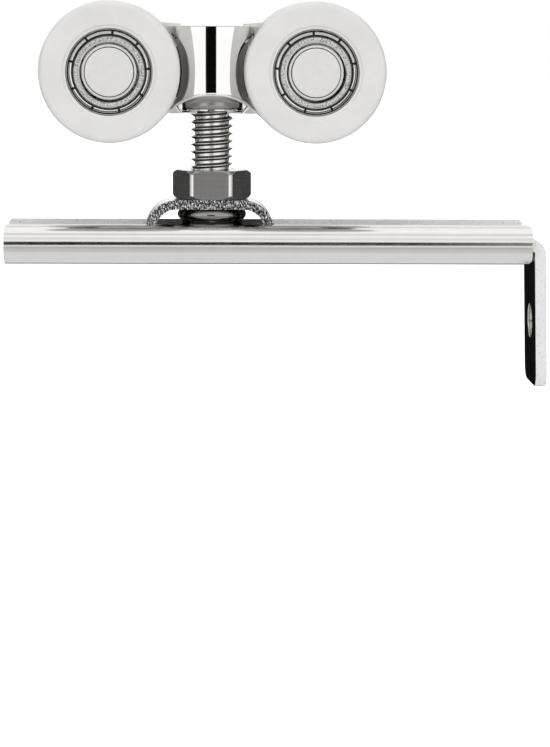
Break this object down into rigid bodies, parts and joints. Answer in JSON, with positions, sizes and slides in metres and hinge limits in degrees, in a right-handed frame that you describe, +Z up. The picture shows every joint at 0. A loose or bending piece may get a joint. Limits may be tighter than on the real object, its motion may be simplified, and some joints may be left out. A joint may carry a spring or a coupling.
{
  "type": "sliding door hanger",
  "caption": "Top-hung sliding door hanger: four-wheel nylon carriage on ball bearings, swivelling lift bolt with jam nut, slide plate in a C channel with an end flange.",
  "frame": {"origin": "on the channel's underside, straight below the bolt's axis", "axes": "+Z up, +X along the door towards the end flange, +Y towards the wall"},
  "size_m": [0.1026, 0.0244, 0.0725],
  "materials": {
    "rolled": "rolled steel strip, bright nickel plate",
    "plated": "pressed steel, bright nickel plate",
    "screw": "turned and rolled steel, nickel plate",
    "polished": "pressed steel, polished and plated",
    "race": "ground bearing steel",
    "shield": "thin pressed steel shield",
    "nylon": "moulded off-white nylon, fine satin"
  },
  "bodies": {
    "bracket": {"door_channel": "rolled", "end_bracket": "rolled"},
    "slider": {"slide_plate": "plated", "lift_collar": "screw"},
    "lock_nut": {"jam_nut": "screw"},
    "riser": {"thrust_washer": "screw"},
    "screw": {"hanger_bolt": "screw"},
    "carriage": {"carriage_front": "polished", "carriage_back": "polished", "axle_left": "plated", "axle_right": "plated", "spacer_left_front": "plated", "spacer_left_back": "plated", "spacer_right_front": "plated", "spacer_right_back": "plated", "inner_race_left_front": "race", "inner_race_left_back": "race", "inner_race_right_front": "race", "inner_race_right_back": "race"},
    "wheel_left_front": {"tyre_left_front": "nylon", "outer_race_left_front": "race", "shield_outside_left_front": "shield", "shield_inside_left_front": "shield"},
    "balls_left_front": {"ball_cage_left_front": "race"},
    "wheel_left_back": {"tyre_left_back": "nylon", "outer_race_left_back": "race", "shield_outside_left_back": "shield", "shield_inside_left_back": "shield"},
    "balls_left_back": {"ball_cage_left_back": "race"},
    "wheel_right_front": {"tyre_right_front": "nylon", "outer_race_right_front": "race", "shield_outside_right_front": "shield", "shield_inside_right_front": "shield"},
    "balls_right_front": {"ball_cage_right_front": "race"},
    "wheel_right_back": {"tyre_right_back": "nylon", "outer_race_right_back": "race", "shield_outside_right_back": "shield", "shield_inside_right_back": "shield"},
    "balls_right_back": {"ball_cage_right_back": "race"}
  },
  "joints": [
    {"name": "plate_slide", "type": "slide", "parent": "bracket", "child": "slider", "axis": [1, 0, 0], "range_m": [-0.0165, 0.0155]},
    {"name": "lock_nut_back_off", "type": "slide", "parent": "slider", "child": "lock_nut", "axis": [0, 0, 1], "range_m": [0, 0.006]},
    {"name": "lift", "type": "slide", "parent": "slider", "child": "riser", "axis": [0, 0, 1], "range_m": [-0.0021, 0.0042]},
    {"name": "bolt_turn", "type": "hinge", "parent": "riser", "child": "screw", "pos_m": [0, 0, 0.03], "axis": [0, 0, 1], "range_deg": [-540, 1080]},
    {"name": "carriage_swivel", "type": "hinge", "parent": "riser", "child": "carriage", "pos_m": [0, 0, 0.0293], "axis": [0, 0, 1], "continuous": true},
    {"name": "wheel_spin_left_front", "type": "hinge", "parent": "carriage", "child": "wheel_left_front", "pos_m": [-0.01915, -0.0087, 0.036], "axis": [0, 1, 0], "continuous": true},
    {"name": "cage_roll_left_front", "type": "hinge", "parent": "carriage", "child": "balls_left_front", "pos_m": [-0.01915, -0.0087, 0.036], "axis": [0, 1, 0], "continuous": true},
    {"name": "wheel_spin_left_back", "type": "hinge", "parent": "carriage", "child": "wheel_left_back", "pos_m": [-0.01915, 0.0087, 0.036], "axis": [0, 1, 0], "continuous": true},
    {"name": "cage_roll_left_back", "type": "hinge", "parent": "carriage", "child": "balls_left_back", "pos_m": [-0.01915, 0.0087, 0.036], "axis": [0, 1, 0], "continuous": true},
    {"name": "wheel_spin_right_front", "type": "hinge", "parent": "carriage", "child": "wheel_right_front", "pos_m": [0.01915, -0.0087, 0.036], "axis": [0, 1, 0], "continuous": true},
    {"name": "cage_roll_right_front", "type": "hinge", "parent": "carriage", "child": "balls_right_front", "pos_m": [0.01915, -0.0087, 0.036], "axis": [0, 1, 0], "continuous": true},
    {"name": "wheel_spin_right_back", "type": "hinge", "parent": "carriage", "child": "wheel_right_back", "pos_m": [0.01915, 0.0087, 0.036], "axis": [0, 1, 0], "continuous": true},
    {"name": "cage_roll_right_back", "type": "hinge", "parent": "carriage", "child": "balls_right_back", "pos_m": [0.01915, 0.0087, 0.036], "axis": [0, 1, 0], "continuous": true}
  ],
  "couplings": [
    {"joint": "bolt_turn", "follows": "lift", "rad_per_m": 4452.7},
    {"joint": "cage_roll_left_front", "follows": "wheel_spin_left_front", "ratio": 0.57787},
    {"joint": "cage_roll_left_back", "follows": "wheel_spin_left_back", "ratio": 0.57787},
    {"joint": "cage_roll_right_front", "follows": "wheel_spin_right_front", "ratio": 0.57787},
    {"joint": "cage_roll_right_back", "follows": "wheel_spin_right_back", "ratio": 0.57787}
  ]
}
